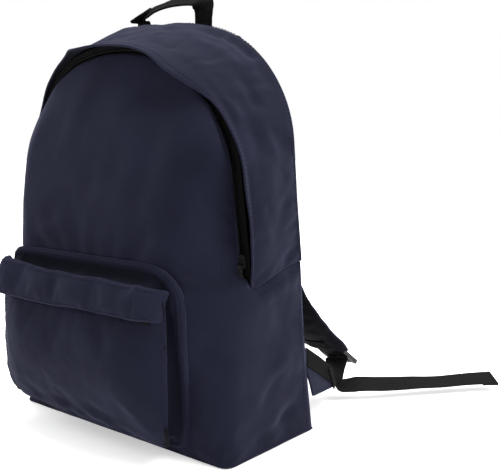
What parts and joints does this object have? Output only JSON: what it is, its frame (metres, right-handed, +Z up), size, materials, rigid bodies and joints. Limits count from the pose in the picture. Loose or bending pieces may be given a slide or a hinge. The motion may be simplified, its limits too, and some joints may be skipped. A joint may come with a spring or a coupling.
{
  "type": "school backpack",
  "caption": "Soft zip-top daypack with a front pocket under a rain flap, a webbing grab handle and padded shoulder straps with ladder locks.",
  "frame": {"origin": "centre of the base, on the floor", "axes": "+Z up, -Y towards the front pocket, +Y towards the shoulder straps, +X to the right seen from the front"},
  "size_m": [0.5028, 0.4847, 0.447],
  "materials": {
    "shell_fabric": "navy plain-weave polyester, slightly sheened",
    "back_fabric": "dark padded mesh fabric",
    "lining": "thin coated lining",
    "foam": "closed-cell foam",
    "webbing": "ribbed black polypropylene webbing",
    "zip_tape": "woven zip tape",
    "zip_coil": "moulded coil",
    "zip_metal": "black painted zinc",
    "black_plastic": "acetal, fine satin"
  },
  "bodies": {
    "bag": {"bottom_panel": "shell_fabric", "lower_shell": "shell_fabric", "upper_gusset": "shell_fabric", "zip_flap": "shell_fabric", "main_zip_tape_outer": "zip_tape", "main_zip_teeth_outer": "zip_coil", "main_zip_tape_inner_ends": "zip_tape", "main_zip_teeth_inner_ends": "zip_coil", "back_panel_outer": "back_fabric", "back_panel_foam": "foam", "back_panel_lining": "lining", "back_seam_binding": "lining", "strap_anchor_band": "shell_fabric", "pocket_front_panel": "shell_fabric", "pocket_gusset": "shell_fabric", "pocket_zip_tape_lower": "zip_tape", "pocket_zip_tape_upper": "zip_tape", "pocket_zip_teeth_lower": "zip_coil", "pocket_zip_teeth_upper": "zip_coil", "pocket_zip_stops": "zip_coil", "handle_feet": "webbing", "strap_root_right": "shell_fabric", "strap_root_left": "shell_fabric", "lower_tab_roots": "shell_fabric"},
    "front_opening": {"front_panel": "shell_fabric", "main_zip_tape_inner": "zip_tape", "main_zip_teeth_inner": "zip_coil"},
    "pocket_zip_slider": {"pocket_slider": "zip_metal"},
    "pocket_zip_pull": {"pocket_pull": "zip_metal"},
    "pocket_rain_flap": {"pocket_flap": "shell_fabric"},
    "carry_handle": {"grab_handle": "webbing"},
    "slider_right": {"main_slider_right": "zip_metal"},
    "pull_right": {"main_pull_right": "zip_metal"},
    "strap_right": {"strap_cover_right": "shell_fabric", "strap_foam_right": "foam", "strap_lining_right": "back_fabric", "strap_end_loop_right": "webbing", "lower_tab_right": "shell_fabric", "lower_webbing_right": "webbing", "webbing_drop_right": "webbing"},
    "lock_right": {"ladder_lock_right": "black_plastic", "webbing_bite_right": "webbing"},
    "tail_right": {"webbing_tail_right": "webbing"},
    "slider_left": {"main_slider_left": "zip_metal"},
    "pull_left": {"main_pull_left": "zip_metal"},
    "strap_left": {"strap_cover_left": "shell_fabric", "strap_foam_left": "foam", "strap_lining_left": "back_fabric", "strap_end_loop_left": "webbing", "lower_tab_left": "shell_fabric", "lower_webbing_left": "webbing", "webbing_drop_left": "webbing"},
    "lock_left": {"ladder_lock_left": "black_plastic", "webbing_bite_left": "webbing"},
    "tail_left": {"webbing_tail_left": "webbing"}
  },
  "joints": [
    {"name": "front_panel_open", "type": "hinge", "parent": "bag", "child": "front_opening", "pos_m": [0, -0.1055, 0.2002], "axis": [1, 0, 0], "range_deg": [0, 75]},
    {"name": "pocket_zip_slide", "type": "slide", "parent": "bag", "child": "pocket_zip_slider", "axis": [-1, 0, 0], "range_m": [0, 0.188]},
    {"name": "pocket_pull_swing", "type": "hinge", "parent": "pocket_zip_slider", "child": "pocket_zip_pull", "pos_m": [0.0921, -0.1298, 0.15058], "axis": [0, 0.2016, 0.9795], "range_deg": [0, 15]},
    {"name": "pocket_flap_lift", "type": "hinge", "parent": "bag", "child": "pocket_rain_flap", "pos_m": [0, -0.12361, 0.17075], "axis": [-1, 0, 0], "range_deg": [0, 70], "stiffness_Nm_per_rad": 0.05},
    {"name": "handle_fold", "type": "hinge", "parent": "bag", "child": "carry_handle", "pos_m": [0, 0.022, 0.4282], "axis": [1, 0, 0], "range_deg": [-55, 50], "stiffness_Nm_per_rad": 0.02},
    {"name": "main_zip_slide_right", "type": "slide", "parent": "bag", "child": "slider_right", "axis": [0, -0.163, 0.9866], "range_m": [0, 0.068]},
    {"name": "main_pull_swing_right", "type": "hinge", "parent": "slider_right", "child": "pull_right", "pos_m": [0.1379, -0.03542, 0.18521], "axis": [-1, 0, 0], "range_deg": [0, 150]},
    {"name": "strap_swing_right", "type": "hinge", "parent": "bag", "child": "strap_right", "pos_m": [0.066, 0.027, 0.398], "axis": [0.23, 0.1179, -0.966], "range_deg": [-4, 15], "stiffness_Nm_per_rad": 0.5},
    {"name": "ladder_lock_tilt_right", "type": "hinge", "parent": "strap_right", "child": "lock_right", "pos_m": [0.10727, 0.18202, 0.0546], "axis": [0.994, -0.0573, 0.0936], "range_deg": [0, 30]},
    {"name": "webbing_tail_lift_right", "type": "hinge", "parent": "strap_right", "child": "tail_right", "pos_m": [0.114, 0.171, 0.016], "axis": [0.7901, -0.6129, 0], "range_deg": [0, 24]},
    {"name": "main_zip_slide_left", "type": "slide", "parent": "bag", "child": "slider_left", "axis": [0, -0.163, 0.9866], "range_m": [0, 0.068]},
    {"name": "main_pull_swing_left", "type": "hinge", "parent": "slider_left", "child": "pull_left", "pos_m": [-0.1379, -0.03542, 0.18521], "axis": [-1, 0, 0], "range_deg": [0, 150]},
    {"name": "strap_swing_left", "type": "hinge", "parent": "bag", "child": "strap_left", "pos_m": [-0.066, 0.027, 0.398], "axis": [0.23, -0.1179, 0.966], "range_deg": [-4, 15], "stiffness_Nm_per_rad": 0.5},
    {"name": "ladder_lock_tilt_left", "type": "hinge", "parent": "strap_left", "child": "lock_left", "pos_m": [-0.10727, 0.18202, 0.0546], "axis": [0.994, 0.0573, -0.0936], "range_deg": [0, 30]},
    {"name": "webbing_tail_lift_left", "type": "hinge", "parent": "strap_left", "child": "tail_left", "pos_m": [-0.114, 0.171, 0.016], "axis": [0.7901, 0.6129, 0], "range_deg": [0, 24]}
  ]
}
